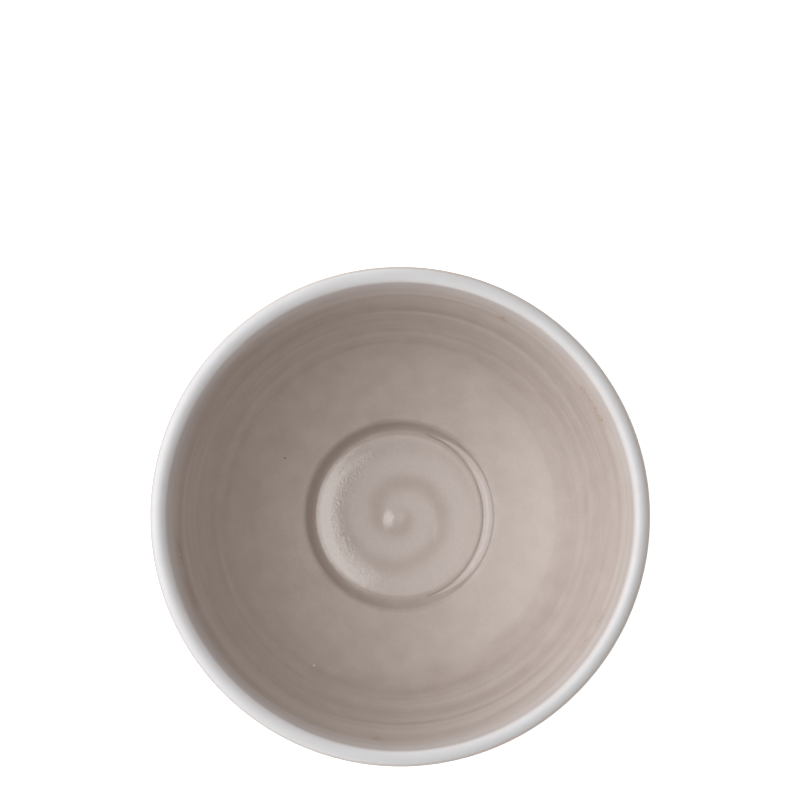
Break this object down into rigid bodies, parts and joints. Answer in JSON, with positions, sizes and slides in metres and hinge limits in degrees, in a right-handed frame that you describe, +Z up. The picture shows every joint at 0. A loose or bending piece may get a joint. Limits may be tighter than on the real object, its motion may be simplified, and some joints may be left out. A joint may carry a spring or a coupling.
{
  "type": "latte bowl",
  "caption": "Handleless round bowl for milky coffee, with a rounded lip, a round well in its floor and a turned foot ring.",
  "frame": {"origin": "middle of the foot ring's resting face", "axes": "+Z up along the bowl's axis; +X to the right and +Y to the top in a view from straight above"},
  "size_m": [0.14, 0.14, 0.074],
  "materials": {
    "stoneware": "matte",
    "lining_glaze": "gloss",
    "lip_glaze": "gloss",
    "outside_glaze": "gloss",
    "base_glaze": "gloss"
  },
  "bodies": {
    "root": {"clay_body": "stoneware", "inner_glaze": "lining_glaze", "rim_band": "lip_glaze", "outer_glaze": "outside_glaze", "base_glaze": "base_glaze"}
  },
  "joints": []
}
